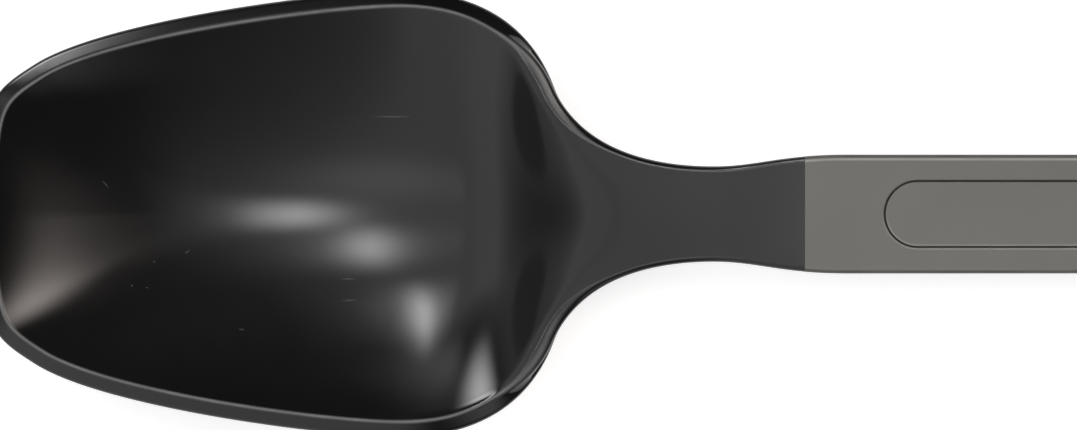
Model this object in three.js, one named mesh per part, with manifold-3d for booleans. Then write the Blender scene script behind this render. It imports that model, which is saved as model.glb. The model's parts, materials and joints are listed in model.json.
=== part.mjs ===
// Long-handled spoon: a black moulded head whose tang is pinned inside a grey handle.
// A flush stadium-shaped inlay in the top of the handle covers the two pins.
// Units are millimetres. The spoon is drawn with the joint between head and handle at x = 0, the bowl
// towards -x, the handle towards +x and the flat top of neck and handle at z = 0. It is then laid
// on a table, on the bottom of the bowl and the end of the handle.
import * as THREE from "three";
import { mergeVertices } from "three/addons/utils/BufferGeometryUtils.js";
import Module from "manifold-3d";

// Plan of the head, in steps along the axis from the tip of the bowl to the grip
const TIP_TO_CORNER = 5.1;
const TIP_TO_WIDEST = 39.5;
const WIDEST_TO_SHOULDER = 14.5;
const SHOULDER_TO_NECK = 15;
const NECK_TO_JOINT = 8.5;
const JOINT_TO_GRIP = 4;

// Widths across the axis, and the angle of the outline to the axis where it isn't parallel to it
const TIP_CORNER_WIDTH = 28.2;
const TIP_CORNER_ANGLE = 32.6;
const BOWL_WIDTH = 42;
const SHOULDER_WIDTH = 24;
const SHOULDER_ANGLE = -69.3;
const NECK_WIDTH = 9;

// Depth of the bowl, where its front wall reaches the floor and at its deepest
const TIP_TO_FLOOR = 17.5;
const FLOOR_START_DEPTH = 4.9;
const BOWL_DEPTH = 7;
const WIDEST_TO_DEEPEST = 4;

// Back wall of the bowl and its rim at the shoulder: how far the middle of each lies before the
// shoulder, and over what length it turns into the neck. The rim is crowned there
const BACK_WALL_LEAD = 1.1;
const BACK_WALL_RUN = 15.5;
const RIM_LEAD = -0.5;
const RIM_RUN = 14;
const SHOULDER_CROWN = 0.07;

// Brink of the hollow, which bends away from the rim just before the shoulder and fades out in the neck
const BRINK_LEAD = 1.2;
const BRINK_INSET = 1.6;
const BRINK_ANGLE = -58;
const BRINK_FADE_WIDTH = 5;
const BRINK_FADE_ANGLE = -25;

// Thickness of the head
const FLOOR_THICKNESS = 1.6;
const NECK_THICKNESS = 3.8;

// Rim of the bowl: a bevel falls outwards from a rounded crest to a rounded edge
const RIM_WIDTH = 1.45;
const RIM_DROP = 1.1;
const CREST_ROUNDING = 0.4;
const RIM_ROUNDING = 0.8;

// Long edges of neck and handle
const EDGE_FILLET = 0.5;

// Joint: a flat tang on the head, in a socket in the handle, held by two pins
const FIT_CLEARANCE = 0.3;
const TANG_WIDTH = 7;
const TANG_THICKNESS = 1.6;
const TANG_ROOT = 4;
const TANG_END_MARGIN = 8;
const PIN_DIAMETER = 2.5;
const PIN_CHAMFER = 0.3;
const PIN_SEAT_DEPTH = 0.8;
const JOINT_TO_PIN = 15;
const PIN_SPACING = 25;

// Handle and the inlay let into its top
const HANDLE_LENGTH = 140;
const SIDE_WALL = 1.8;
const POCKET_FLOOR = 0.7;
const BASE_WALL = 1.3;
const INLAY_WIDTH = 5.9;
const INLAY_THICKNESS = 0.8;
const INLAY_ROUNDING = 0.15;
const JOINT_TO_INLAY = 7.7;

// Hanging slot through the end of the handle
const SLOT_WIDTH = 5;
const SLOT_LENGTH = 9;
const TAIL_WALL = 4.5;
const INLAY_TO_SLOT = 10;

// Shape numbers without units: how far each outline curve follows its end directions, as shares of
// its chord, how much of the bowl's section is parabola, across the bowl and towards the tip (the rest
// rises with the fourth power), how softly the hollow ends at its brink, how much sooner than the rest
// of the rim the outer end of its rounding moves to the edge of the neck, and where the pulls of a
// curve near a quarter circle end, as a share of its radius
const TIP_PULLS = [0.71, 0.34];
const SIDE_PULLS = [0.22, 0.19];
const SHOULDER_PULLS = [0.53, 0.26];
const THROAT_PULLS = [0.31, 0.46];
const FLARE_PULLS = [0.32, 0.5];
const BRINK_PULLS = [0.62, 0.35];
const FADE_PULLS = [0.45, 0.4];
const CROSS_PARABOLA = 1.1;
const TIP_PARABOLA = 0.6;
const BRINK_SOFTNESS = 0.08;
const ROUND_HASTE = 3.5;
const CIRCLE_PULL = 0.45;

// Steps along each outline curve, across the bowl, round the rim and round the pins and holes
const TIP_STEPS = 10;
const SIDE_STEPS = 9;
const SHOULDER_STEPS = 12;
const THROAT_STEPS = 11;
const FLARE_STEPS = 5;
const SECTION_STEPS = 12;
const ROUNDING_STEPS = 4;
const CURVE_STEPS = 12;
const PIN_SIDES = 24;

// Working numbers: how far cutting bodies stand out of what they cut, the distance at which corners
// count as one, how closely a crossing is found, and the passes in which the spoon is levelled
const CUT_MARGIN = 1;
const SAME_CORNER = 1e-4;
const CROSSING_STEP = 1e-9;
const LEVEL_PASSES = 5;

// Sizes that follow from the stack of pieces in the handle, and lengths along it
const HANDLE_WIDTH = TANG_WIDTH + 2 * FIT_CLEARANCE + 2 * SIDE_WALL;
const POCKET_DEPTH = INLAY_THICKNESS + FIT_CLEARANCE;
const SOCKET_TOP = -(POCKET_DEPTH + POCKET_FLOOR);
const TANG_TOP = SOCKET_TOP - FIT_CLEARANCE;
const SOCKET_BOTTOM = TANG_TOP - TANG_THICKNESS - FIT_CLEARANCE;
const HANDLE_THICKNESS = BASE_WALL - SOCKET_BOTTOM;
const PIN_HOLE_DIAMETER = PIN_DIAMETER + 2 * FIT_CLEARANCE;
const PIN_POSITIONS = [JOINT_TO_PIN, JOINT_TO_PIN + PIN_SPACING];
const TANG_LENGTH = JOINT_TO_PIN + PIN_SPACING + TANG_END_MARGIN;
const SLOT_END = HANDLE_LENGTH - TAIL_WALL;
const SLOT_START = SLOT_END - SLOT_LENGTH;
const INLAY_END = SLOT_START - INLAY_TO_SLOT;

const BLACK_NYLON = { color: 0x1d1c1c, roughness: 0.32, metalness: 0 };
const GREY_NYLON = { color: 0x706f69, roughness: 0.5, metalness: 0 };
const STEEL = { color: 0xb9b8b4, roughness: 0.35, metalness: 1 };

const { degToRad, lerp, smoothstep, smootherstep } = THREE.MathUtils;
const wasm = await Module();
wasm.setup();

// A closed geometry as a solid that can be joined and cut
function solid(geometry) {
  const bare = geometry.clone();
  bare.deleteAttribute("normal");
  bare.deleteAttribute("uv");
  const merged = mergeVertices(bare, SAME_CORNER);
  return new wasm.Manifold(new wasm.Mesh({
    numProp: 3,
    vertProperties: new Float32Array(merged.attributes.position.array),
    triVerts: new Uint32Array(merged.index.array),
  }));
}

function geometryOf(body) {
  const mesh = body.getMesh();
  const geometry = new THREE.BufferGeometry();
  geometry.setAttribute("position", new THREE.BufferAttribute(mesh.vertProperties, 3));
  geometry.setIndex(new THREE.BufferAttribute(mesh.triVerts, 1));
  geometry.computeVertexNormals();
  return geometry;
}

function pieceOf(name, geometry, finish) {
  const piece = new THREE.Mesh(geometry, new THREE.MeshStandardMaterial(finish));
  piece.name = name;
  return piece;
}

// Outline of one side of the spoon: five curves through the tip, the blunt corner beside it, the
// widest place, the shoulder, the narrowest neck and the start of the parallel grip
const NECK_X = -NECK_TO_JOINT;
const SHOULDER_X = NECK_X - SHOULDER_TO_NECK;
const WIDEST_X = SHOULDER_X - WIDEST_TO_SHOULDER;
const TIP_X = WIDEST_X - TIP_TO_WIDEST;
const tip = { x: TIP_X, y: 0, angle: 90 };
const corner = { x: TIP_X + TIP_TO_CORNER, y: TIP_CORNER_WIDTH / 2, angle: TIP_CORNER_ANGLE };
const widest = { x: WIDEST_X, y: BOWL_WIDTH / 2, angle: 0 };
const shoulder = { x: SHOULDER_X, y: SHOULDER_WIDTH / 2, angle: SHOULDER_ANGLE };
const neck = { x: NECK_X, y: NECK_WIDTH / 2, angle: 0 };
const grip = { x: JOINT_TO_GRIP, y: HANDLE_WIDTH / 2, angle: 0 };

// Brink of the hollow, from the widest place to the end of the back wall
const bowlSide = { x: WIDEST_X, y: BOWL_WIDTH / 2 - RIM_WIDTH, angle: 0 };
const bowlEnd = { x: SHOULDER_X - BRINK_LEAD, y: SHOULDER_WIDTH / 2 - BRINK_INSET, angle: BRINK_ANGLE };
const wallEnd = {
  x: SHOULDER_X - BACK_WALL_LEAD + BACK_WALL_RUN / 2,
  y: BRINK_FADE_WIDTH / 2,
  angle: BRINK_FADE_ANGLE,
};

function pulledCurve(start, end, [startPull, endPull]) {
  const from = new THREE.Vector2(start.x, start.y);
  const to = new THREE.Vector2(end.x, end.y);
  const chord = from.distanceTo(to);
  const heading = (angle) => new THREE.Vector2(Math.cos(degToRad(angle)), Math.sin(degToRad(angle)));
  const leave = from.clone().addScaledVector(heading(start.angle), startPull * chord);
  const arrive = to.clone().addScaledVector(heading(end.angle), -endPull * chord);
  return new THREE.CubicBezierCurve(from, leave, arrive, to);
}

const tipCurve = pulledCurve(tip, corner, TIP_PULLS);
const sideCurve = pulledCurve(corner, widest, SIDE_PULLS);
const shoulderCurve = pulledCurve(widest, shoulder, SHOULDER_PULLS);
const throatCurve = pulledCurve(shoulder, neck, THROAT_PULLS);
const flareCurve = pulledCurve(neck, grip, FLARE_PULLS);
const brinkCurve = pulledCurve(bowlSide, bowlEnd, BRINK_PULLS);
const fadeCurve = pulledCurve(bowlEnd, wallEnd, FADE_PULLS);

// Place on a curve that runs towards +x where it crosses a given x, by halving
function crossing(curve, x) {
  let low = 0;
  let high = 1;
  while (high - low > CROSSING_STEP) {
    const middle = (low + high) / 2;
    if (curve.getPoint(middle).x < x) low = middle;
    else high = middle;
  }
  return low;
}

function curveStations(curve, steps, last = 1) {
  const places = Array.from({ length: steps + 1 }, (_, i) => (last * i) / steps);
  return places.map((t) => ({ point: curve.getPoint(t), tangent: curve.getTangent(t) }));
}

// Half the width of the hollow, from brink to brink, behind the widest place
function brinkAt(x) {
  const curve = x < bowlEnd.x ? brinkCurve : fadeCurve;
  return curve.getPoint(crossing(curve, x)).y;
}

// How far the bowl's surface stands below the rim, from 1 over the spine to 0 at the rim. It leaves
// the spine with the slope that the floor has in that direction.
function hollow(share, slope, parabola) {
  const curve = parabola * share ** 2 + (1 - parabola) * share ** 4;
  return 1 - slope * share - (1 - slope) * curve;
}

// Floor of the bowl at a place on the spine: its depth, and its slope towards the tip
function floorAt(x) {
  const run = TIP_TO_WIDEST - TIP_TO_FLOOR + WIDEST_TO_DEEPEST;
  const fall = BOWL_DEPTH - FLOOR_START_DEPTH;
  const share = Math.max(WIDEST_X + WIDEST_TO_DEEPEST - x, 0) / run;
  return { depth: BOWL_DEPTH - fall * share ** 2, slope: (2 * fall * share) / run };
}

// How far the bowl has turned into the neck at x, over a run whose middle lies before the shoulder
function turnedShare(x, lead, run) {
  const middle = SHOULDER_X - lead;
  return smootherstep(x, middle - run / 2, middle + run / 2);
}

function at(plan, height) {
  return new THREE.Vector3(plan.x, plan.y, height);
}

function rounding(...points) {
  const Curve = points.length === 3 ? THREE.QuadraticBezierCurve3 : THREE.CubicBezierCurve3;
  return new Curve(...points).getPoints(ROUNDING_STEPS);
}

// Half a section of the head: from the spine along the top, over the crest of the rim, round its edge
// and back along the underside. The rim lies square to the outline, the rest on lines from the spine.
// The bevel runs on past the outline by what the rounding of the edge takes off again
function rib({ point, tangent }, fanSpineX) {
  const outward = new THREE.Vector2(-tangent.y, tangent.x);
  const inset = (distance) => point.clone().addScaledVector(outward, -distance);
  const rimTurn = turnedShare(point.x, RIM_LEAD, RIM_RUN);
  const roundTurn = 1 - (1 - rimTurn) ** ROUND_HASTE;
  const crown = 4 * rimTurn * (1 - rimTurn) * SHOULDER_CROWN;
  const insideRim = inset(lerp(RIM_WIDTH + CREST_ROUNDING, EDGE_FILLET, rimTurn) + crown);
  const spine = new THREE.Vector2(fanSpineX ?? insideRim.x, 0);
  const wallTurn = turnedShare(spine.x, BACK_WALL_LEAD, BACK_WALL_RUN);
  const length = spine.distanceTo(insideRim);
  const direction = insideRim.clone().sub(spine).normalize();
  const toCrest = length + CREST_ROUNDING / direction.dot(outward);
  const toBrink = fanSpineX === undefined ? brinkAt(spine.x) : toCrest;
  const softness = BRINK_SOFTNESS * smoothstep(spine.x, WIDEST_X, bowlEnd.x);
  const { depth, slope } = floorAt(spine.x);
  const rise = slope * -direction.x;
  const parabola = lerp(TIP_PARABOLA, CROSS_PARABOLA, direction.y ** 2);
  const topAt = (share) => {
    const below = hollow((share * length) / toBrink, (rise * toBrink) / depth, parabola);
    const softened = (below + Math.hypot(below, softness)) / 2;
    return at(spine.clone().lerp(insideRim, share), lerp(-depth * softened, 0, wallTurn));
  };

  const edgeInset = -RIM_ROUNDING / 2;
  const toEdge = spine.distanceTo(inset(edgeInset));
  const underRim = inset(lerp(edgeInset + RIM_ROUNDING, EDGE_FILLET, rimTurn));
  const underShare = spine.distanceTo(underRim) / toEdge;
  const bottom = depth + FLOOR_THICKNESS - RIM_DROP;
  const thickness = lerp(NECK_THICKNESS, HANDLE_THICKNESS, smoothstep(point.x, NECK_X, 0));
  const undersideAt = (share) => {
    const height = -RIM_DROP - bottom * hollow(share * underShare, (rise * toEdge) / bottom, parabola);
    const turn = lerp(wallTurn, rimTurn, share ** 2);
    return at(spine.clone().lerp(underRim, share), lerp(height, -thickness, turn));
  };

  const rimAt = (bowlInset, neckHeight, turn = rimTurn) => {
    const rimInset = lerp(bowlInset, 0, turn);
    const bevelHeight = (-RIM_DROP * (RIM_WIDTH - rimInset)) / (RIM_WIDTH - edgeInset);
    return at(inset(rimInset), lerp(bevelHeight, neckHeight, rimTurn));
  };
  const upper = rounding(
    topAt(1),
    at(inset(lerp(RIM_WIDTH, CIRCLE_PULL * EDGE_FILLET, rimTurn)), -crown),
    at(inset(lerp(RIM_WIDTH, 0, roundTurn)), -CIRCLE_PULL * EDGE_FILLET * rimTurn),
    rimAt(RIM_WIDTH - CREST_ROUNDING, -EDGE_FILLET, roundTurn),
  );
  const lower = rounding(
    rimAt(edgeInset + RIM_ROUNDING, EDGE_FILLET - thickness),
    rimAt(edgeInset, -thickness),
    undersideAt(1),
  );
  const shares = Array.from({ length: SECTION_STEPS }, (_, i) => i / SECTION_STEPS);
  return [...shares.map(topAt), ...upper, ...lower, ...shares.reverse().map(undersideAt)];
}

// Ribs in front of the widest place fan out from a shorter stretch of the spine, so that they meet
// the blunt tip squarely
function headRibs() {
  const front = [...curveStations(tipCurve, TIP_STEPS), ...curveStations(sideCurve, SIDE_STEPS).slice(1)];
  const back = [
    ...curveStations(shoulderCurve, SHOULDER_STEPS).slice(1),
    ...curveStations(throatCurve, THROAT_STEPS).slice(1),
  ];
  const flare = curveStations(flareCurve, FLARE_STEPS, crossing(flareCurve, 0)).slice(1);
  const alongAxis = new THREE.Vector2(1, 0);
  const toWidest = front.map(() => 0);
  for (let i = front.length - 2; i >= 0; i--) {
    toWidest[i] = toWidest[i + 1] + front[i].point.distanceTo(front[i + 1].point);
  }
  const spineLength = TIP_TO_WIDEST - TIP_TO_FLOOR;
  const gather = 1 / spineLength - 1 / toWidest[0];
  const spineX = (way) => WIDEST_X - way / (1 + way * gather);
  const frontRibs = front.map((station, i) => rib(station, spineX(toWidest[i])));
  const backRibs = back.map((station) => rib(station));
  const flareRibs = flare.map(({ point }) => rib({ point, tangent: alongAxis }));
  return [...frontRibs, ...backRibs, ...flareRibs];
}

// Skin over the ribs and their mirror images, closed by a fan over the joint face
function skin(ribs) {
  const corners = [];
  const across = ({ x, y, z }) => new THREE.Vector3(x, -y, z);
  const face = (a, b, c) => {
    corners.push(...a, ...b, ...c);
    corners.push(...across(a), ...across(c), ...across(b));
  };
  for (let i = 0; i + 1 < ribs.length; i++) {
    const [near, far] = [ribs[i], ribs[i + 1]];
    for (let j = 0; j + 1 < near.length; j++) {
      face(near[j], far[j], far[j + 1]);
      face(near[j], far[j + 1], near[j + 1]);
    }
  }
  const last = ribs.at(-1);
  const middle = new THREE.Vector3(0, 0, -HANDLE_THICKNESS / 2);
  for (let j = 0; j + 1 < last.length; j++) face(middle, last[j + 1], last[j]);
  const geometry = new THREE.BufferGeometry();
  geometry.setAttribute("position", new THREE.Float32BufferAttribute(corners, 3));
  return geometry;
}

// Flat bar between two heights, made from a plan
function slab(plan, top, bottom, rounded = 0) {
  const bar = new THREE.ExtrudeGeometry(plan, {
    depth: top - bottom - 2 * rounded,
    bevelEnabled: rounded > 0,
    bevelThickness: rounded,
    bevelSize: rounded,
    bevelOffset: -rounded,
    bevelSegments: ROUNDING_STEPS,
    curveSegments: CURVE_STEPS,
  });
  return bar.translate(0, 0, bottom + rounded);
}

function stadium(startX, endX, width, Plan = THREE.Shape) {
  const radius = width / 2;
  const plan = new Plan();
  plan.absarc(endX - radius, 0, radius, -Math.PI / 2, Math.PI / 2, false);
  plan.absarc(startX + radius, 0, radius, Math.PI / 2, (3 * Math.PI) / 2, false);
  plan.closePath();
  return plan;
}

function rectangle(startX, endX, width) {
  return new THREE.Shape([
    new THREE.Vector2(startX, -width / 2),
    new THREE.Vector2(endX, -width / 2),
    new THREE.Vector2(endX, width / 2),
    new THREE.Vector2(startX, width / 2),
  ]);
}

function pinHole(x, Plan = THREE.Shape) {
  return new Plan().absarc(x, 0, PIN_HOLE_DIAMETER / 2, 0, 2 * Math.PI, false);
}

function tangSlab() {
  const plan = rectangle(-TANG_ROOT, TANG_LENGTH, TANG_WIDTH);
  plan.holes = PIN_POSITIONS.map((x) => pinHole(x, THREE.Path));
  return slab(plan, TANG_TOP, TANG_TOP - TANG_THICKNESS);
}

function spoonHead() {
  const head = solid(skin(headRibs())).add(solid(tangSlab()));
  return pieceOf("spoon_head", geometryOf(head), BLACK_NYLON);
}

// Plan of the handle: the flare of the neck runs on into the grip, and the tail is fully round
function handlePlan() {
  const radius = HANDLE_WIDTH / 2;
  const [from, leave, arrive, to] = [flareCurve.v0, flareCurve.v1, flareCurve.v2, flareCurve.v3];
  const plan = new THREE.Shape();
  plan.moveTo(from.x, -from.y);
  plan.bezierCurveTo(leave.x, -leave.y, arrive.x, -arrive.y, to.x, -to.y);
  plan.absarc(HANDLE_LENGTH - radius, 0, radius, -Math.PI / 2, Math.PI / 2, false);
  plan.lineTo(to.x, to.y);
  plan.bezierCurveTo(arrive.x, arrive.y, leave.x, leave.y, from.x, from.y);
  plan.closePath();
  plan.holes = [stadium(SLOT_START, SLOT_END, SLOT_WIDTH, THREE.Path)];
  return plan;
}

function handle() {
  const socketWidth = TANG_WIDTH + 2 * FIT_CLEARANCE;
  const frontPlan = rectangle(NECK_X - CUT_MARGIN, FIT_CLEARANCE, HANDLE_WIDTH + 2 * CUT_MARGIN);
  const socketPlan = rectangle(0, TANG_LENGTH + FIT_CLEARANCE, socketWidth);
  const pocketPlan = stadium(
    JOINT_TO_INLAY - FIT_CLEARANCE, INLAY_END + FIT_CLEARANCE, INLAY_WIDTH + 2 * FIT_CLEARANCE);
  let body = solid(slab(handlePlan(), 0, -HANDLE_THICKNESS, EDGE_FILLET));
  body = body.subtract(solid(slab(frontPlan, CUT_MARGIN, -HANDLE_THICKNESS - CUT_MARGIN)));
  body = body.subtract(solid(slab(socketPlan, SOCKET_TOP, SOCKET_BOTTOM)));
  body = body.subtract(solid(slab(pocketPlan, CUT_MARGIN, -POCKET_DEPTH)));
  for (const x of PIN_POSITIONS) {
    body = body.subtract(solid(slab(pinHole(x), CUT_MARGIN, SOCKET_BOTTOM - PIN_SEAT_DEPTH)));
  }
  return pieceOf("handle", geometryOf(body), GREY_NYLON);
}

function handleInlay() {
  const plan = stadium(JOINT_TO_INLAY, INLAY_END, INLAY_WIDTH);
  return pieceOf("handle_inlay", slab(plan, 0, -INLAY_THICKNESS, INLAY_ROUNDING), GREY_NYLON);
}

// Chamfered dowel, flush with the pocket floor and seated in a blind hole in the base of the handle
function tangPin(name, x) {
  const top = -POCKET_DEPTH;
  const bottom = SOCKET_BOTTOM - PIN_SEAT_DEPTH + FIT_CLEARANCE;
  const radius = PIN_DIAMETER / 2;
  const profile = [
    [0, bottom],
    [radius - PIN_CHAMFER, bottom],
    [radius, bottom + PIN_CHAMFER],
    [radius, top - PIN_CHAMFER],
    [radius - PIN_CHAMFER, top],
    [0, top],
  ];
  const dowel = new THREE.LatheGeometry(profile.map((p) => new THREE.Vector2(...p)), PIN_SIDES);
  const pin = pieceOf(name, dowel.rotateX(Math.PI / 2), STEEL);
  pin.position.x = x;
  return pin;
}

// Tilt about the y axis at which the lowest point of the head and the tail of the handle are level
function restTilt(head) {
  const points = head.geometry.attributes.position;
  const tail = { x: HANDLE_LENGTH - EDGE_FILLET, z: -HANDLE_THICKNESS };
  let tilt = 0;
  for (let pass = 0; pass < LEVEL_PASSES; pass++) {
    let foot = tail;
    const heightOf = ({ x, z }) => z * Math.cos(tilt) - x * Math.sin(tilt);
    for (let i = 0; i < points.count; i++) {
      const point = { x: points.getX(i), z: points.getZ(i) };
      if (point.x < 0 && heightOf(point) < heightOf(foot)) foot = point;
    }
    if (foot !== tail) tilt = Math.atan2(tail.z - foot.z, tail.x - foot.x);
  }
  return tilt;
}

function longHandledSpoon() {
  const head = spoonHead();
  const spoon = new THREE.Group();
  spoon.add(head, handle(), handleInlay());
  spoon.add(tangPin("front_tang_pin", PIN_POSITIONS[0]), tangPin("rear_tang_pin", PIN_POSITIONS[1]));
  spoon.rotation.y = restTilt(head);
  const box = new THREE.Box3().setFromObject(spoon, true);
  const middle = box.getCenter(new THREE.Vector3());
  spoon.position.set(-middle.x, -middle.y, -box.min.z);
  return new THREE.Group().add(spoon);
}

export default longHandledSpoon();
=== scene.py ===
"""Long-handled spoon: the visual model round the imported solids. Lengths are in metres.

The spoon is drawn as its solids are: the joint between head and handle at x = 0, the bowl towards -x,
the handle towards +x and the flat top of neck and handle at z = 0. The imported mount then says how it
lies on the table.
"""
import json
import math

import bmesh
import bpy
from mathutils import Matrix, Vector

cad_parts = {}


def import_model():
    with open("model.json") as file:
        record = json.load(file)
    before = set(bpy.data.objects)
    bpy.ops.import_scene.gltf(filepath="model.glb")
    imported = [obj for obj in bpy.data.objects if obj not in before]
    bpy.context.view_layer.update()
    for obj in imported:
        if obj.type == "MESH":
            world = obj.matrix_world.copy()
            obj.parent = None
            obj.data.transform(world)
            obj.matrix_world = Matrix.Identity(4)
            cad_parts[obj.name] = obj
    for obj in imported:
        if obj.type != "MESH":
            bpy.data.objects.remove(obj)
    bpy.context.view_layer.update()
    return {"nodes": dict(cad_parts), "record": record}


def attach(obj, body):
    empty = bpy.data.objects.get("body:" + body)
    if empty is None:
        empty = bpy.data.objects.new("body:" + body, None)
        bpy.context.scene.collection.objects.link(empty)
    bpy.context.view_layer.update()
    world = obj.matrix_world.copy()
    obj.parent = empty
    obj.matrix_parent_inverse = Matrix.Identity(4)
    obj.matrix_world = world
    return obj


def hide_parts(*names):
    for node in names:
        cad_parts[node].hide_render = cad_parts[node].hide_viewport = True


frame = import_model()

MM = 0.001

# Plan of the head, in steps along the axis from the tip of the bowl to the grip
TIP_TO_CORNER = 5.1 * MM
TIP_TO_WIDEST = 39.5 * MM
WIDEST_TO_SHOULDER = 14.5 * MM
SHOULDER_TO_NECK = 15 * MM
NECK_TO_JOINT = 8.5 * MM
JOINT_TO_GRIP = 4 * MM

# Widths across the axis, and the angle of the outline to the axis where it isn't parallel to it
TIP_CORNER_WIDTH = 28.2 * MM
TIP_CORNER_ANGLE = 32.6
BOWL_WIDTH = 42 * MM
SHOULDER_WIDTH = 24 * MM
SHOULDER_ANGLE = -69.3
NECK_WIDTH = 9 * MM

# Depth of the bowl, where its front wall reaches the floor and at its deepest
TIP_TO_FLOOR = 17.5 * MM
FLOOR_START_DEPTH = 4.9 * MM
BOWL_DEPTH = 7 * MM
WIDEST_TO_DEEPEST = 4 * MM

# Back wall of the bowl and its rim at the shoulder: how far the middle of each lies before the shoulder
# and over what length it turns into the neck. The rim is crowned there
BACK_WALL_LEAD = 1.1 * MM
BACK_WALL_RUN = 15.5 * MM
RIM_LEAD = -0.5 * MM
RIM_RUN = 14 * MM
SHOULDER_CROWN = 0.07 * MM

# How much sooner the back wall starts at its sides, which softens the corners of the bowl
CORNER_RUN = 2.5 * MM

# Brink of the hollow, which bends away from the rim just before the shoulder and fades out in the neck
BRINK_LEAD = 1.2 * MM
BRINK_INSET = 1.6 * MM
BRINK_ANGLE = -58
BRINK_FADE_WIDTH = 5 * MM
BRINK_FADE_ANGLE = -25

# Thickness of the head
FLOOR_THICKNESS = 1.6 * MM
NECK_THICKNESS = 3.8 * MM

# Rim of the bowl: a bevel falls outwards from a rounded crest to a rounded edge, whose corner would lie
# outside the outline by half its rounding
RIM_WIDTH = 1.45 * MM
RIM_DROP = 1.1 * MM
CREST_ROUNDING = 0.4 * MM
RIM_ROUNDING = 0.8 * MM
EDGE_INSET = -RIM_ROUNDING / 2

# Joint: a flat tang on the head, in a socket in the handle, held by two pins. The line where head and
# handle meet is narrower than the clearance of the solids
FIT_CLEARANCE = 0.3 * MM
JOINT_LINE = 0.02 * MM
TANG_WIDTH = 7 * MM
TANG_THICKNESS = 1.6 * MM
TANG_ROOT = 4 * MM
TANG_END_MARGIN = 8 * MM
TANG_CHAMFER = 0.2 * MM
PIN_DIAMETER = 2.5 * MM
PIN_SEAT_DEPTH = 0.8 * MM
JOINT_TO_PIN = 15 * MM
PIN_SPACING = 25 * MM

# Handle: its walls round the socket, and the rounding of its long edges and of those of the neck
HANDLE_LENGTH = 140 * MM
SIDE_WALL = 1.8 * MM
POCKET_FLOOR = 0.7 * MM
BASE_WALL = 1.3 * MM
EDGE_FILLET = 0.5 * MM

# Inlay let into the top of the handle. It is drawn a little larger than its solid, because the line
# round it is narrower than the clearance of the solids
SOLID_INLAY_WIDTH = 5.9 * MM
INLAY_THICKNESS = 0.8 * MM
INLAY_ROUNDING = 0.12 * MM
JOINT_TO_INLAY = 7.7 * MM
INLAY_GROWTH = 0.08 * MM
INLAY_LINE = 0.15 * MM

# Hanging slot through the end of the handle
SLOT_WIDTH = 5 * MM
SLOT_LENGTH = 9 * MM
TAIL_WALL = 4.5 * MM
INLAY_TO_SLOT = 10 * MM

# Sizes that follow from the stack of pieces in the handle, and lengths along it
HANDLE_WIDTH = TANG_WIDTH + 2 * FIT_CLEARANCE + 2 * SIDE_WALL
POCKET_DEPTH = INLAY_THICKNESS + FIT_CLEARANCE
SOCKET_TOP = -(POCKET_DEPTH + POCKET_FLOOR)
TANG_TOP = SOCKET_TOP - FIT_CLEARANCE
TANG_BOTTOM = TANG_TOP - TANG_THICKNESS
SOCKET_BOTTOM = TANG_BOTTOM - FIT_CLEARANCE
HANDLE_THICKNESS = BASE_WALL - SOCKET_BOTTOM
PIN_HOLE_RADIUS = PIN_DIAMETER / 2 + FIT_CLEARANCE
PIN_HOLE_BOTTOM = SOCKET_BOTTOM - PIN_SEAT_DEPTH
PIN_POSITIONS = (JOINT_TO_PIN, JOINT_TO_PIN + PIN_SPACING)
TANG_LENGTH = JOINT_TO_PIN + PIN_SPACING + TANG_END_MARGIN
SLOT_END = HANDLE_LENGTH - TAIL_WALL
SLOT_START = SLOT_END - SLOT_LENGTH
INLAY_START = JOINT_TO_INLAY - INLAY_GROWTH
INLAY_END = SLOT_START - INLAY_TO_SLOT + INLAY_GROWTH
INLAY_WIDTH = SOLID_INLAY_WIDTH + 2 * INLAY_GROWTH

# How far each outline curve follows its end directions, as shares of its chord
TIP_PULLS = (0.71, 0.34)
SIDE_PULLS = (0.22, 0.19)
SHOULDER_PULLS = (0.53, 0.26)
THROAT_PULLS = (0.31, 0.46)
FLARE_PULLS = (0.32, 0.5)
BRINK_PULLS = (0.62, 0.35)
FADE_PULLS = (0.45, 0.4)

# How much of the bowl's section is parabola, across the bowl and towards the tip
CROSS_PARABOLA = 1.1
TIP_PARABOLA = 0.6

# How soft the brink of the hollow is, as a share of the depth, and how much sooner than the rest of the
# rim the outer end of its rounding moves to the edge of the neck
BRINK_SOFTNESS = 0.05
ROUND_HASTE = 3.5

# How far from the corner of the neck's edge the middle points of the curve that rounds it lie, about as
# they do for a quarter circle
FILLET_PULL = 0.45 * EDGE_FILLET

# Steps along each outline curve, across the bowl and round the rim, the edges, arcs and holes, and the
# halvings that find a place on a curve
TIP_STEPS = 40
SIDE_STEPS = 44
SHOULDER_STEPS = 44
THROAT_STEPS = 40
FLARE_STEPS = 14
SECTION_STEPS = 44
RIM_STEPS = 12
FILLET_STEPS = 8
ARC_STEPS = 40
HALVINGS = 40

# Angle between two faces from which the edge between them is shaded hard
SHARP_ANGLE = math.radians(40)

# Painted highlight with some wear on the head: over how many steps of the rounding it fades, on the crest
# of the rim and on the edge of the neck, and its share on the two edges of the neck, where it dies out
# towards the joint. The lower edges are those towards -y
CREST_HIGHLIGHT_FADE = 4
NECK_HIGHLIGHT_FADE = 1.6
UPPER_NECK_HIGHLIGHT = 0.75
LOWER_NECK_HIGHLIGHT = 0.2

# Painted highlight on the handle's upper edge, with a little on its lower edge as wear: its share on the
# lower edge and, as painted highlight, along the inlay, its width on the flats beside the edges, how many
# rings of an edge's rounding it covers, and the first ring of the painted shade on the sides
LOWER_EDGE_HIGHLIGHT = 0.1
INLAY_EDGE_HIGHLIGHT = 0.6
EDGE_HIGHLIGHT_WIDTH = 0.1 * MM
HIGHLIGHT_RINGS = 2
FIRST_SHADED_RING = 4

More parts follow.
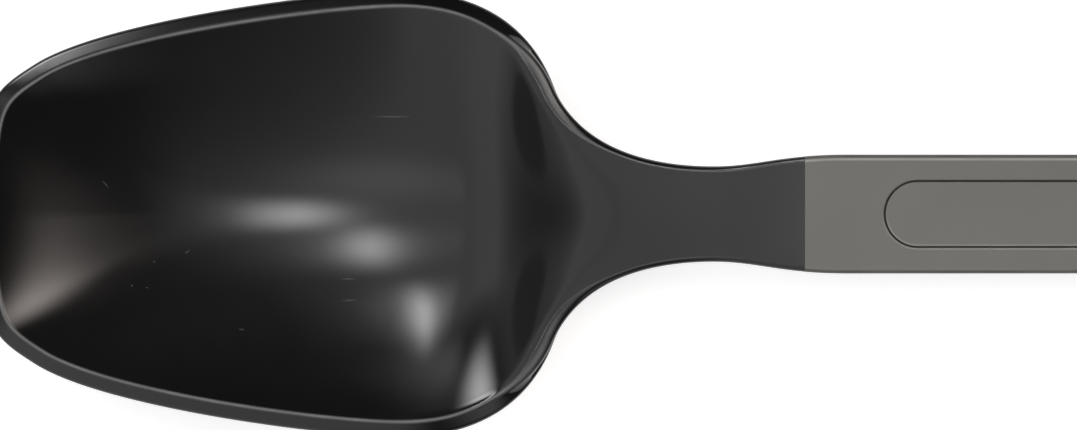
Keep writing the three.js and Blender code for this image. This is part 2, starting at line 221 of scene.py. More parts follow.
# Colours of painted highlight and wear on black and on grey and of the painted shade on the handle's sides,
# the roughness of worn black, and the shares between which each of these varies over the surface
BLACK_HIGHLIGHT_AND_WEAR = (0.193, 0.196, 0.196)
GREY_HIGHLIGHT_AND_WEAR = (0.38, 0.375, 0.355)
GREY_PAINTED_SHADE = (0.075, 0.073, 0.067)
WORN_ROUGHNESS = 0.4
STORED_SHARES = (0.7, 1)

# Scratches and specks in the bowl: the middle of each along and across the spoon and its length, in
# millimetres, and its angle to the axis in degrees
MARKS = (
    (-38.92, 9.22, 4.14, 0),
    (-43.15, -6.15, 1.69, 1),
    (-42.96, -8.17, 1.88, -3),
    (-65.94, 2.82, 1.03, 49),
    (-63.45, -6.76, 0.38, 60),
    (-62.04, -6.95, 0.28, 0),
    (-61.38, -4.51, 0.38, 20),
    (-58.28, -3.57, 0.75, -35),
    (-53.11, -10.9, 0.66, 0),
)
MARK_WIDTH = 0.16 * MM
MARK_COLOUR = (0.1, 0.098, 0.096)

# Noise over the surfaces, each kind as its features per metre and its levels of detail, and the values
# between which most of it lies
BLACK_CLOUDS = (90, 4)
BLACK_GRAIN = (4000, 2)
GREY_CLOUDS = (120, 4)
GREY_GRAIN = (5000, 3)
STEEL_LINES = (9000, 2)
STORED_PATCHES = (350, 3)
NOISE_RANGE = (0.3, 0.7)

# Finish of each material: the two tones and the two roughnesses between which the noise varies, and the
# strength and height of its grain
BLACK_TONES = ((0.0068, 0.0066, 0.0065), (0.0088, 0.0085, 0.0083))
BLACK_ROUGHNESS = (0.115, 0.14)
BLACK_RELIEF = (0.15, 0.005 * MM)
GREY_TONES = ((0.166, 0.163, 0.15), (0.178, 0.175, 0.161))
GREY_ROUGHNESS = (0.48, 0.58)
GREY_RELIEF = (0.3, 0.01 * MM)
STEEL_TONES = ((0.5, 0.5, 0.48), (0.62, 0.62, 0.6))
STEEL_ROUGHNESS = (0.25, 0.4)

# Scale of the noise on the pins, which stretches it into lines along them
DRAWN_LINES = (1, 1, 0.02)

# Photograph: the middle of the stretch of the spoon that it shows, its width in pixels and its scale
PHOTO_CENTRE = Vector((-25.05 * MM, -0.09 * MM, 0))
PHOTO_WIDTH = 1077
METRES_PER_PIXEL = 0.094 * MM

# Camera over the table, with the width of its sensor in millimetres
CAMERA_DISTANCE = 0.65
SENSOR_WIDTH = 36

# Table: a pale disc, and how strongly it glows where the camera or a mirror sees it
FLOOR_RADIUS = 8
FLOOR_SEGMENTS = 96
FLOOR_COLOUR = (0.8, 0.8, 0.8, 1)
FLOOR_GLOW = 0.62

# Light of the studio by direction. It turns dark towards the handle, and sooner to the sides, most of all
# towards +y. Each pair of ends is where a change starts and stops, and its levels are the light there
SIDE_TURN = 0.3
SKEW_TURN = 0.05
OVERHEAD_ENDS = (-0.25, 0.1)
OVERHEAD_LEVELS = (1.06, 0.87)
HANDLE_SIDE_ENDS = (0.21, 0.36)
HANDLE_SIDE_LEVEL = 0.04

# Dimmer light low behind the tip, and the dark flank of the studio towards +y, slanted along the spoon
TIP_SIDE_ENDS = (-1, -0.7)
TIP_SIDE_LEVELS = (0.12, 0.95)
FLANK_SLANT = -0.25
FLANK_ENDS = (0.68, 0.84)
FLANK_LEVELS = (1, 0.06)

# Lights: name, direction from the bowl, width and height as shares of their distance, radiance, colour and
# roll in degrees. The highlights are bands in the bowl, the fills lighten its walls and floor, and the warm
# ones put a sheen on its wall at the tip
WHITE = (1, 1, 1)
WARM = (1.1, 0.99, 0.94)
LIGHTS = (
    ("floor_highlight", (0.174, 0.005, 0.98), 0.12, 0.32, 11, WHITE, 0),
    ("middle_highlight", (0.098, 0.24, 0.965), 0.048, 0.46, 19, WHITE, 0),
    ("side_highlight", (0.008, 0.64, 0.768), 0.03, 0.54, 37, WHITE, 8),
    ("back_highlight", (-0.47, 0.815, 0.33), 0.64, 0.36, 12, WHITE, 35),
    ("front_fill", (0.44, -0.78, 0.44), 0.8, 0.6, 0.9, WHITE, 0),
    ("upper_fill", (0.08, -0.25, 0.965), 0.26, 0.52, 0.7, WHITE, 0),
    ("side_fill", (-0.12, 0.82, 0.56), 0.5, 0.3, 1.2, WHITE, 0),
    ("warm_low", (0.58, 0.3, 0.76), 0.6, 0.64, 4.8, WARM, 0),
    ("warm_fill", (0.56, 0.145, 0.81), 0.8, 0.5, 1.2, WARM, 0),
)
LIGHT_DISTANCE = 4

# From the middle of a square of size 1 to its edge
HALF_UNIT = 0.5

# Places along the axis, and the length of the spine in front of the widest place
NECK_X = -NECK_TO_JOINT
SHOULDER_X = NECK_X - SHOULDER_TO_NECK
WIDEST_X = SHOULDER_X - WIDEST_TO_SHOULDER
TIP_X = WIDEST_X - TIP_TO_WIDEST
BOWL_END_X = SHOULDER_X - BRINK_LEAD
WALL_END_X = SHOULDER_X - BACK_WALL_LEAD + BACK_WALL_RUN / 2
SPINE_LENGTH = TIP_TO_WIDEST - TIP_TO_FLOOR


def lerp(start, end, share):
    return start + (end - start) * share


def share_of(value, low, high):
    """How far a value has come from low to high, from 0 to 1."""
    return min(max((value - low) / (high - low), 0), 1)


def smoothstep(value, low, high):
    share = share_of(value, low, high)
    return share ** 2 * (3 - 2 * share)


def smootherstep(value, low, high):
    share = share_of(value, low, high)
    return share ** 3 * (share * (6 * share - 15) + 10)


def rest_place():
    """Place of the spoon's own frame at rest, from the mount in the middle of the handle's underside."""
    mount = frame["record"]["mounts"][0]
    axis = Vector(mount["axis"])
    turn = Matrix.Rotation(math.atan2(-axis.x, -axis.z), 4, "Y")
    mount_in_spoon = Vector((HANDLE_LENGTH / 2, 0, -HANDLE_THICKNESS))
    return Matrix.Translation(Vector(mount["pos_m"]) - turn @ mount_in_spoon) @ turn


REST = rest_place()


# Outline of one side of the spoon: five curves through the tip, the blunt corner beside it, the
# widest place, the shoulder, the narrowest neck and the start of the parallel grip


def outline_mark(x, width, angle):
    """Point of the outline where the spoon has a given width, and the direction of the outline there."""
    heading = Vector((math.cos(math.radians(angle)), math.sin(math.radians(angle))))
    return Vector((x, width / 2)), heading


def pulled_curve(start, end, pulls):
    """Points of a Bezier curve that leaves one mark of the outline and arrives at another."""
    (start_point, start_heading), (end_point, end_heading) = start, end
    chord = (end_point - start_point).length
    leave = start_point + start_heading * pulls[0] * chord
    arrive = end_point - end_heading * pulls[1] * chord
    return [start_point, leave, arrive, end_point]


tip = outline_mark(TIP_X, 0, 90)
corner = outline_mark(TIP_X + TIP_TO_CORNER, TIP_CORNER_WIDTH, TIP_CORNER_ANGLE)
widest = outline_mark(WIDEST_X, BOWL_WIDTH, 0)
shoulder = outline_mark(SHOULDER_X, SHOULDER_WIDTH, SHOULDER_ANGLE)
neck = outline_mark(NECK_X, NECK_WIDTH, 0)
grip = outline_mark(JOINT_TO_GRIP, HANDLE_WIDTH, 0)

tip_curve = pulled_curve(tip, corner, TIP_PULLS)
side_curve = pulled_curve(corner, widest, SIDE_PULLS)
shoulder_curve = pulled_curve(widest, shoulder, SHOULDER_PULLS)
throat_curve = pulled_curve(shoulder, neck, THROAT_PULLS)
flare_curve = pulled_curve(neck, grip, FLARE_PULLS)

# Brink of the hollow, from the widest place to the end of the back wall
bowl_side = outline_mark(WIDEST_X, BOWL_WIDTH - 2 * RIM_WIDTH, 0)
bowl_end = outline_mark(BOWL_END_X, SHOULDER_WIDTH - 2 * BRINK_INSET, BRINK_ANGLE)
wall_end = outline_mark(WALL_END_X, BRINK_FADE_WIDTH, BRINK_FADE_ANGLE)
brink_curve = pulled_curve(bowl_side, bowl_end, BRINK_PULLS)
fade_curve = pulled_curve(bowl_end, wall_end, FADE_PULLS)


def bezier(points, share):
    """Point and direction at a place on a Bezier curve."""
    while len(points) > 2:
        points = [a.lerp(b, share) for a, b in zip(points, points[1:])]
    return points[0].lerp(points[1], share), (points[1] - points[0]).normalized()


def crossing(curve, x):
    """Place on a curve that runs towards +x where it crosses a given x, by halving."""
    low, high = 0, 1
    for _ in range(HALVINGS):
        middle = (low + high) / 2
        if bezier(curve, middle)[0].x < x:
            low = middle
        else:
            high = middle
    return low


def stations(curve, steps, first=0, last=1):
    """Points and directions at even steps along a curve."""
    return [bezier(curve, lerp(first, last, i / steps)) for i in range(steps + 1)]


def square_to(tangent):
    """Direction out of the outline, at right angles to it."""
    return Vector((-tangent.y, tangent.x))


# Ribs of the head, from the spine to the outline and back


def hollow(share, slope, parabola):
    """Depth of the bowl's surface below its rim, from 1 over the spine to 0 at the rim."""
    curve = parabola * share ** 2 + (1 - parabola) * share ** 4
    return 1 - slope * share - (1 - slope) * curve


def floor_at(x):
    """Depth of the bowl's floor at a place on the spine, and how steeply it rises there towards +x."""
    run = SPINE_LENGTH + WIDEST_TO_DEEPEST
    share = max(WIDEST_X + WIDEST_TO_DEEPEST - x, 0) / run
    fall = BOWL_DEPTH - FLOOR_START_DEPTH
    return BOWL_DEPTH - fall * share ** 2, -2 * fall * share / run


def rounding(*points):
    """Points at even steps along a Bezier curve round an edge."""
    return [bezier([Vector(p) for p in points], i / RIM_STEPS)[0] for i in range(RIM_STEPS + 1)]


def turned_share(x, lead, run):
    """How far the bowl has turned into the neck at x, over a run whose middle leads the shoulder."""
    middle = SHOULDER_X - lead
    return smootherstep(x, middle - run / 2, middle + run / 2)


def brink_at(x):
    """Half the width of the hollow, from brink to brink, behind the widest place."""
    curve = brink_curve if x < BOWL_END_X else fade_curve
    return bezier(curve, crossing(curve, x))[0].y


class Rib:
    """Half a section of the head. Its rim lies square to the outline, the rest on lines from the spine."""

    def __init__(self, point, outward, spine_x=None):
        """A rib at a point of the outline. Where no foot is given, it runs straight across the axis."""
        self.point = point
        self.outward = outward

        # Rim: how far it has turned into the edge of the neck, and where it ends on the top and below
        self.rim_turn = turned_share(point.x, RIM_LEAD, RIM_RUN)
        self.round_turn = 1 - (1 - self.rim_turn) ** ROUND_HASTE
        self.crown = 4 * self.rim_turn * (1 - self.rim_turn) * SHOULDER_CROWN
        rim_inset = lerp(RIM_WIDTH + CREST_ROUNDING, EDGE_FILLET, self.rim_turn)
        self.inside_rim = self.inset(rim_inset + self.crown)
        self.under_rim = self.inset(lerp(EDGE_INSET + RIM_ROUNDING, EDGE_FILLET, self.rim_turn))
        self.thickness = lerp(NECK_THICKNESS, HANDLE_THICKNESS, smoothstep(point.x, NECK_X, 0))

        # Line from the spine to the rim, the brink of the hollow on it, and the bowl's section along it
        behind_widest = spine_x is None
        self.spine = Vector((self.inside_rim.x if behind_widest else spine_x, 0))
        self.length = (self.inside_rim - self.spine).length
        direction = (self.inside_rim - self.spine) / self.length
        if behind_widest:
            self.brink = brink_at(self.spine.x)
        else:
            self.brink = self.length + CREST_ROUNDING / direction.dot(outward)
        self.depth, rise = floor_at(self.spine.x)
        self.rise = rise * direction.x
        self.parabola = lerp(TIP_PARABOLA, CROSS_PARABOLA, direction.y ** 2)

    def inset(self, distance):
        """Place in plan at a distance inside the outline."""
        return self.point - self.outward * distance

    def top(self, share):
        """Point on the top, at a share of the way from the spine to the inside of the rim."""
        below = hollow(share * self.length / self.brink, self.rise * self.brink / self.depth, self.parabola)
        softness = BRINK_SOFTNESS * smoothstep(self.spine.x, WIDEST_X, BOWL_END_X)
        softened = (below + math.hypot(below, softness)) / 2
        sooner = CORNER_RUN * share ** 2 * (2 - share ** 2)
        turn = turned_share(self.spine.x, BACK_WALL_LEAD + sooner / 2, BACK_WALL_RUN + sooner)
        return (*self.spine.lerp(self.inside_rim, share), lerp(-self.depth * softened, 0, turn))

    def underside(self, share):
        """Point on the underside, at a share of the way from the spine to the edge of the rim."""
        edge_length = (self.inset(EDGE_INSET) - self.spine).length
        under_share = (self.under_rim - self.spine).length / edge_length
        bottom = self.depth + FLOOR_THICKNESS - RIM_DROP
        below = hollow(share * under_share, self.rise * edge_length / bottom, self.parabola)
        wall_turn = turned_share(self.spine.x, BACK_WALL_LEAD, BACK_WALL_RUN)
        turn = lerp(wall_turn, self.rim_turn, share ** 2)
        height = lerp(-RIM_DROP - bottom * below, -self.thickness, turn)
        return (*self.spine.lerp(self.under_rim, share), height)

    def bevel(self, bowl_inset, neck_height, turn):
        """Point on the bevel of the rim, which turns into one on the edge of the neck."""
        inset = lerp(bowl_inset, 0, turn)
        bowl_height = -RIM_DROP * (RIM_WIDTH - inset) / (RIM_WIDTH - EDGE_INSET)
        return (*self.inset(inset), lerp(bowl_height, neck_height, self.rim_turn))

    def upper_rounding(self):
        """Points over the crest of the rim, which becomes the top edge of the neck."""
        return rounding(
            self.top(1),
            (*self.inset(lerp(RIM_WIDTH, FILLET_PULL, self.rim_turn)), -self.crown),
            (*self.inset(lerp(RIM_WIDTH, 0, self.round_turn)), -FILLET_PULL * self.rim_turn),
            self.bevel(RIM_WIDTH - CREST_ROUNDING, -EDGE_FILLET, self.round_turn),
        )

    def lower_rounding(self):
        """Points over the outer edge of the rim, which becomes the bottom edge of the neck."""
        return rounding(
            self.bevel(EDGE_INSET + RIM_ROUNDING, EDGE_FILLET - self.thickness, self.rim_turn),
            self.bevel(EDGE_INSET, -self.thickness, self.rim_turn),
            self.underside(1),
        )

    def points(self):
        """Points along the top, over the two roundings and back along the underside to the spine."""
        shares = [i / SECTION_STEPS for i in range(SECTION_STEPS)]
        top = [Vector(self.top(share)) for share in shares]
        underside = [Vector(self.underside(share)) for share in reversed(shares)]
        return top + self.upper_rounding() + self.lower_rounding() + underside


def spine_places(front):
    """Feet of the ribs in front of the widest place, closer together towards the end of the spine."""
    to_widest = [0]
    for (near, _), (far, _) in zip(reversed(front[:-1]), reversed(front)):
        to_widest.insert(0, to_widest[0] + (far - near).length)
    gather = 1 / SPINE_LENGTH - 1 / to_widest[0]
    return [WIDEST_X - way / (1 + way * gather) for way in to_widest]


def head_ribs():
    """Ribs from tip to joint. In front of the widest place they fan out to meet the tip squarely."""
    front = stations(tip_curve, TIP_STEPS) + stations(side_curve, SIDE_STEPS)[1:]
    back = stations(shoulder_curve, SHOULDER_STEPS)[1:] + stations(throat_curve, THROAT_STEPS)[1:]
    flare = stations(flare_curve, FLARE_STEPS, last=crossing(flare_curve, 0))[1:]
    ribs = []
    for (point, tangent), spine_x in zip(front, spine_places(front)):
        ribs.append(Rib(point, square_to(tangent), spine_x))
    ribs += [Rib(point, square_to(tangent)) for point, tangent in back]
    ribs += [Rib(point, Vector((0, 1))) for point, _ in flare]
    return [rib.points() for rib in ribs]


# Meshes


def mesh_object(name, bm):
    """Object with the faces of a bmesh, which is used up."""
    bmesh.ops.recalc_face_normals(bm, faces=bm.faces)
    mesh = bpy.data.meshes.new(name)
    bm.to_mesh(mesh)
    bm.free()
    piece = bpy.data.objects.new(name, mesh)
    bpy.context.scene.collection.objects.link(piece)
    return piece


def combine(piece, tool, operation):
    """Joins a tool body to a piece or cuts the piece with it; the tool is used up."""
    modifier = piece.modifiers.new(operation, "BOOLEAN")
    modifier.operation = operation
    modifier.object = tool
    modifier.solver = "EXACT"
    depsgraph = bpy.context.evaluated_depsgraph_get()
    piece.data = bpy.data.meshes.new_from_object(piece.evaluated_get(depsgraph))
    piece.modifiers.clear()
    bpy.data.objects.remove(tool)


def shade(piece):
    """Smooth shading with hard edges at sharp angles. Flat faces stay flat up to their roundings."""
    bm = bmesh.new()
    bm.from_mesh(piece.data)
    for face in bm.faces:
        face.smooth = True
    for edge in bm.edges:
        edge.smooth = edge.calc_face_angle(0) < SHARP_ANGLE
    bm.to_mesh(piece.data)
    bm.free()
    weighted = piece.modifiers.new("flat_faces", "WEIGHTED_NORMAL")
    weighted.keep_sharp = True


def wall(bm, plan, profile):
    """Rings of a plan at the insets and heights of a profile, joined into a wall."""
    rings = [[bm.verts.new((x, y, height)) for x, y in plan(inset)] for inset, height in profile]
    for upper, lower in zip(rings, rings[1:]):
        for i, corner_vert in enumerate(upper):
            bm.faces.new((upper[i - 1], corner_vert, lower[i], lower[i - 1]))
    return rings


def fill(bm, *rings):
    """Flat face inside the first ring, with the other rings as holes in it."""
    edges = [bm.edges.get((ring[i - 1], ring[i])) for ring in rings for i in range(len(ring))]
    bmesh.ops.triangle_fill(bm, use_beauty=True, edges=edges)


def closed_wall(name, plan, top, bottom):
    """Straight wall between two heights, closed at both ends."""
    bm = bmesh.new()
    rings = wall(bm, plan, [(0, top), (0, bottom)])
    fill(bm, rings[0])
    fill(bm, rings[-1])
    return mesh_object(name, bm)


def arc(centre_x, radius, start, end):
    """Points of an arc about a place on the axis, between two angles in degrees."""
    angles = [math.radians(lerp(start, end, i / ARC_STEPS)) for i in range(ARC_STEPS + 1)]
    return [(centre_x + radius * math.cos(a), radius * math.sin(a)) for a in angles]


def stadium(start_x, end_x, width):
    """Plan with round ends, as a function of how far it is inset."""
    radius = width / 2

    def plan(inset):
        front = arc(start_x + radius, radius - inset, 90, 270)
        return arc(end_x - radius, radius - inset, -90, 90) + front

    return plan


def rectangle(start_x, end_x, width):
    """Plan with square ends, of which the front one stays in place when it is inset."""

    def plan(inset):
        side = width / 2 - inset
        return [(start_x, -side), (end_x - inset, -side), (end_x - inset, side), (start_x, side)]

    return plan


def pin_hole(x):
    """Round plan of a pin's hole, as a function of how far it is inset."""
    return lambda inset: arc(x, PIN_HOLE_RADIUS - inset, 0, 360)[:-1]


def rounded_profile(top, bottom, radius):
    """Insets and heights down a wall whose upper and lower edges are rounded."""
    turns = [math.pi / 2 * i / FILLET_STEPS for i in range(FILLET_STEPS + 1)]
    upper = [(radius * (1 - math.sin(a)), top - radius * (1 - math.cos(a))) for a in turns]
    lower = [(inset, top + bottom - height) for inset, height in reversed(upper)]
    return upper + lower


def outwards(profile):
    """Profile of a wall round a hole, whose roundings widen it."""
    return [(-inset, height) for inset, height in profile]


def handle_plan(inset):
    """Plan of the handle: the flare of the neck runs on into the grip, and the tail is fully round."""
    radius = HANDLE_WIDTH / 2
    side = []
    for point, tangent in stations(flare_curve, FLARE_STEPS, first=crossing(flare_curve, JOINT_LINE)):
        side.append((point.x, point.y - inset / tangent.x))
    tail = arc(HANDLE_LENGTH - radius, radius - inset, 90, -90)
    return side + tail + [(x, -y) for x, y in reversed(side)]


# Head


def tang():
    """Flat bar behind the joint, with chamfered edges and two holes for the pins."""
    bm = bmesh.new()
    chamfered = [
        (TANG_CHAMFER, TANG_TOP),
        (0, TANG_TOP - TANG_CHAMFER),
        (0, TANG_BOTTOM + TANG_CHAMFER),
        (TANG_CHAMFER, TANG_BOTTOM),
    ]
    bar = wall(bm, rectangle(-TANG_ROOT, TANG_LENGTH, TANG_WIDTH), chamfered)
    holes = [wall(bm, pin_hole(x), [(0, TANG_TOP), (0, TANG_BOTTOM)]) for x in PIN_POSITIONS]
    fill(bm, bar[0], *[hole[0] for hole in holes])
    fill(bm, bar[-1], *[hole[-1] for hole in holes])
    return mesh_object("tang", bm)


def rim_highlight(row, neck_highlight):
    """Painted highlight with some wear over a rib's rounding: on the crest of the rim and the top edge of
    the neck.
    """
    x = row[SECTION_STEPS].x
    neck_share = turned_share(x, RIM_LEAD, RIM_RUN)
    crest = lerp(RIM_STEPS / 2, 0, neck_share)
    fade = lerp(CREST_HIGHLIGHT_FADE, NECK_HIGHLIGHT_FADE, neck_share ** 2)
    most = lerp(1, neck_highlight * share_of(x, 0, SHOULDER_X), neck_share)
    return [most * max(1 - abs(j - crest) / fade, 0) for j in range(RIM_STEPS + 1)]


def mirror_image(bm, row):
    """Mirror image of a row of vertices, which shares the row's two ends on the axis."""
    between = [bm.verts.new((vert.co.x, -vert.co.y, vert.co.z)) for vert in row[1:-1]]
    return [row[0], *between, row[-1]]


def spoon_head():
    """Skin over the ribs and their mirror images, closed at the joint, with the tang behind it."""
    bm = bmesh.new()
    highlight_and_wear = bm.verts.layers.float.new("highlight_and_wear")
    ribs = head_ribs()
    left = [[bm.verts.new(p) for p in row] for row in ribs]
    right = [left[0]] + [mirror_image(bm, row) for row in left[1:]]
    # Painted highlight, with some wear, on the rounding of the rim's crest and on the neck's edges, most on
    # the upper one
    for half, neck_highlight in ((right, LOWER_NECK_HIGHLIGHT), (left, UPPER_NECK_HIGHLIGHT)):
        for verts, row in zip(half, ribs):
            for vert, highlight_share in zip(verts[SECTION_STEPS:], rim_highlight(row, neck_highlight)):
                vert[highlight_and_wear] = highlight_share
    for half in (left, right):
        for near, far in zip(half, half[1:]):
            for j in range(len(near) - 1):
                bm.faces.new((near[j], far[j], far[j + 1], near[j + 1]))
    bm.faces.new(left[-1] + right[-1][-2:0:-1])
    head = mesh_object("head", bm)
    combine(head, tang(), "UNION")
    shade(head)
    return head


# Handle and inlay


def highlight_and_shade_sides(rings, highlight_and_wear, painted_shade):
    """Painted highlight on the rounded long edges of the handle, mostly the upper one, and painted shade on
    its sides.
    """
    for ring in rings[1:1 + HIGHLIGHT_RINGS] + rings[-1 - HIGHLIGHT_RINGS:-1]:
        for vert in ring:
            vert[highlight_and_wear] = 1 if vert.co.y > 0 else LOWER_EDGE_HIGHLIGHT
    for ring in rings[FIRST_SHADED_RING:-FIRST_SHADED_RING]:
        for vert in ring:
            vert[painted_shade] = 1


def highlight_inlay_line(rings, highlight_and_wear):
    """Painted highlight on the rounding of the line round the inlay, along its lower side and at its lower
    corners.
    """
    for ring in rings[1:FILLET_STEPS + 1]:
        for vert in ring:
            vert[highlight_and_wear] = INLAY_EDGE_HIGHLIGHT * share_of(vert.co.y, 0, -INLAY_WIDTH / 4)


def pocket(bm):
    """Wall of the pocket for the inlay, with a rounded top edge."""
    plan = stadium(INLAY_START - INLAY_LINE, INLAY_END + INLAY_LINE, INLAY_WIDTH + 2 * INLAY_LINE)
    rounded = rounded_profile(0, -POCKET_DEPTH, INLAY_ROUNDING)
    top = [(inset, height) for inset, height in rounded if height > -POCKET_DEPTH / 2]
    beside = INLAY_ROUNDING + EDGE_HIGHLIGHT_WIDTH
    return wall(bm, plan, outwards([(beside, 0), *top, (0, -POCKET_DEPTH)]))


def socket():
    """Room for the tang and its clearance."""
    plan = rectangle(-TANG_ROOT, TANG_LENGTH + FIT_CLEARANCE, TANG_WIDTH + 2 * FIT_CLEARANCE)
    return closed_wall("socket", plan, SOCKET_TOP, SOCKET_BOTTOM)


def pin_bore(x):
    """Room for a pin, from the top of the handle down to its seat."""
    return closed_wall("pin_bore", pin_hole(x), 0, PIN_HOLE_BOTTOM)


def handle():
    """Flat bar with rounded edges, a pocket for the inlay, a hanging slot, a socket and two pin bores."""
    bm = bmesh.new()
    # Painted highlight on the upper long edge and round the inlay, and painted shade on the sides of the
    # handle
    highlight_and_wear = bm.verts.layers.float.new("highlight_and_wear")
    painted_shade = bm.verts.layers.float.new("painted_shade")
    rounded = rounded_profile(0, -HANDLE_THICKNESS, EDGE_FILLET)
    beside = EDGE_FILLET + EDGE_HIGHLIGHT_WIDTH
    outside = wall(bm, handle_plan, [(beside, 0), *rounded, (beside, -HANDLE_THICKNESS)])
    highlight_and_shade_sides(outside, highlight_and_wear, painted_shade)
    slot = wall(bm, stadium(SLOT_START, SLOT_END, SLOT_WIDTH), outwards(rounded))
    inlay_pocket = pocket(bm)
    highlight_inlay_line(inlay_pocket, highlight_and_wear)
    fill(bm, outside[0], inlay_pocket[0], slot[0])
    fill(bm, outside[-1], slot[-1])
    fill(bm, inlay_pocket[-1])
    body = mesh_object("handle_body", bm)
    combine(body, socket(), "DIFFERENCE")
    for x in PIN_POSITIONS:
        combine(body, pin_bore(x), "DIFFERENCE")
    shade(body)
    return body


def handle_inlay():
    """Thin strip with round ends and rounded edges."""
    bm = bmesh.new()
    # Painted highlight on the lower side of the inlay's rounded edge
    highlight_and_wear = bm.verts.layers.float.new("highlight_and_wear")
    rounded = rounded_profile(0, -INLAY_THICKNESS, INLAY_ROUNDING)
    beside = INLAY_ROUNDING + EDGE_HIGHLIGHT_WIDTH
    rings = wall(bm, stadium(INLAY_START, INLAY_END, INLAY_WIDTH), [(beside, 0), *rounded])
    highlight_inlay_line(rings, highlight_and_wear)
    fill(bm, rings[0])
    fill(bm, rings[-1])
    inlay = mesh_object("inlay", bm)
    shade(inlay)
    return inlay


# Shader nodes


def connect(tree, node, inputs):
    """Sets a node's inputs to values, or links them from sockets."""
    for name, value in inputs.items():
        if isinstance(value, bpy.types.NodeSocket):
            tree.links.new(value, node.inputs[name])
        else:
            node.inputs[name].default_value = value


def add(tree, kind, inputs=None, **settings):
    """A shader node with its settings and inputs."""
    node = tree.nodes.new(kind)
    for name, value in settings.items():
        setattr(node, name, value)
    connect(tree, node, inputs or {})
    return node


def new_material(name):
    material = bpy.data.materials.new(name)
    material.use_nodes = True
    tree = material.node_tree
    return material, tree, tree.nodes["Principled BSDF"]


def surface_place(tree):
    return add(tree, "ShaderNodeTexCoord").outputs["Object"]


def noise(tree, place, scale, detail):
    return add(tree, "ShaderNodeTexNoise", {"Vector": place, "Scale": scale, "Detail": detail}).outputs[0]


def ramp(tree, value, start, end, low, high, **settings):
    """A value that runs from start to end, spread over a range."""
    inputs = {"Value": value, "From Min": start, "From Max": end, "To Min": low, "To Max": high}
    return add(tree, "ShaderNodeMapRange", inputs, **settings).outputs[0]


def calculate(tree, operation, *values):
    return add(tree, "ShaderNodeMath", dict(enumerate(values)), operation=operation).outputs[0]


def spread(tree, value, low, high):
    """A noise value, spread over a range."""
    return ramp(tree, value, *NOISE_RANGE, low, high)


def two_tone(tree, value, tones):
    """A noise value as a colour between two tones."""
    mixed = add(tree, "ShaderNodeValToRGB", {"Fac": value})
    for element, position, tone in zip(mixed.color_ramp.elements, NOISE_RANGE, tones):
        element.position = position
        element.color = (*tone, 1)
    return mixed.outputs[0]


def blended(tree, share, colour, over):
    """A colour laid over another by a share that varies over the surface."""
    inputs = {"Fac": share, "Color1": over, "Color2": (*colour, 1)}
    return add(tree, "ShaderNodeMixRGB", inputs).outputs["Color"]


def relief(tree, grain, strength, height):
    inputs = {"Height": grain, "Strength": strength, "Distance": height}
    return add(tree, "ShaderNodeBump", inputs).outputs[0]


def stored_share(tree, name, place):
    """Share of painted highlight, painted shade or wear that is stored on the mesh, broken up over the
    surface.
    """
    stored = add(tree, "ShaderNodeAttribute", attribute_name=name).outputs["Fac"]
    patches = spread(tree, noise(tree, place, *STORED_PATCHES), *STORED_SHARES)
    return calculate(tree, "MULTIPLY", stored, patches)


# Materials


def bowl_marks(tree, place):
    """Share of scratches and specks, on surfaces that face up."""
    share = 0
    for x, y, length, angle in MARKS:
        inputs = {
            "Vector": place,
            "Location": REST @ (Vector((x, y, 0)) * MM),
            "Rotation": (0, 0, -math.radians(angle)),
            "Scale": (length * MM, MARK_WIDTH, 1),
        }
        along = add(tree, "ShaderNodeMapping", inputs, vector_type="TEXTURE").outputs[0]
        off = add(tree, "ShaderNodeVectorMath", {0: along}, operation="LENGTH").outputs["Value"]
        share = calculate(tree, "MAXIMUM", share, ramp(tree, off, 0, HALF_UNIT, 1, 0))
    normal = add(tree, "ShaderNodeNewGeometry").outputs["Normal"]
    upward = add(tree, "ShaderNodeSeparateXYZ", {0: normal}).outputs["Z"]
    return calculate(tree, "MULTIPLY", share, calculate(tree, "GREATER_THAN", upward, 0))


def black_nylon():
    """Satin black with faint clouds, scratches, and painted highlight with light wear along crest and neck
    edges.
    """
    material, tree, surface = new_material("black_nylon")
    place = surface_place(tree)
    clouds = noise(tree, place, *BLACK_CLOUDS)
    grain = noise(tree, place, *BLACK_GRAIN)
    # Painted highlight along the crest and the neck's edges, with some wear that also makes them rougher
    highlight_and_wear = stored_share(tree, "highlight_and_wear", place)
    colour = two_tone(tree, clouds, BLACK_TONES)
    colour = blended(tree, bowl_marks(tree, place), MARK_COLOUR, colour)
    colour = blended(tree, highlight_and_wear, BLACK_HIGHLIGHT_AND_WEAR, colour)
    roughness = ramp(tree, highlight_and_wear, 0, 1, spread(tree, clouds, *BLACK_ROUGHNESS), WORN_ROUGHNESS)
    normal = relief(tree, grain, *BLACK_RELIEF)
    connect(tree, surface, {"Base Color": colour, "Roughness": roughness, "Normal": normal})
    return material


def grey_nylon():
    """Fine matt warm grey, with painted shade on its sides and painted highlight on its upper edge and
    round the inlay.
    """
    material, tree, surface = new_material("grey_nylon")
    place = surface_place(tree)
    clouds = noise(tree, place, *GREY_CLOUDS)
    grain = noise(tree, place, *GREY_GRAIN)
    colour = two_tone(tree, clouds, GREY_TONES)
    # Painted shade on the sides of the handle, then painted highlight on its upper edge and round the inlay
    colour = blended(tree, stored_share(tree, "painted_shade", place), GREY_PAINTED_SHADE, colour)
    colour = blended(tree, stored_share(tree, "highlight_and_wear", place), GREY_HIGHLIGHT_AND_WEAR, colour)
    roughness = spread(tree, grain, *GREY_ROUGHNESS)
    normal = relief(tree, grain, *GREY_RELIEF)
    connect(tree, surface, {"Base Color": colour, "Roughness": roughness, "Normal": normal})
    return material


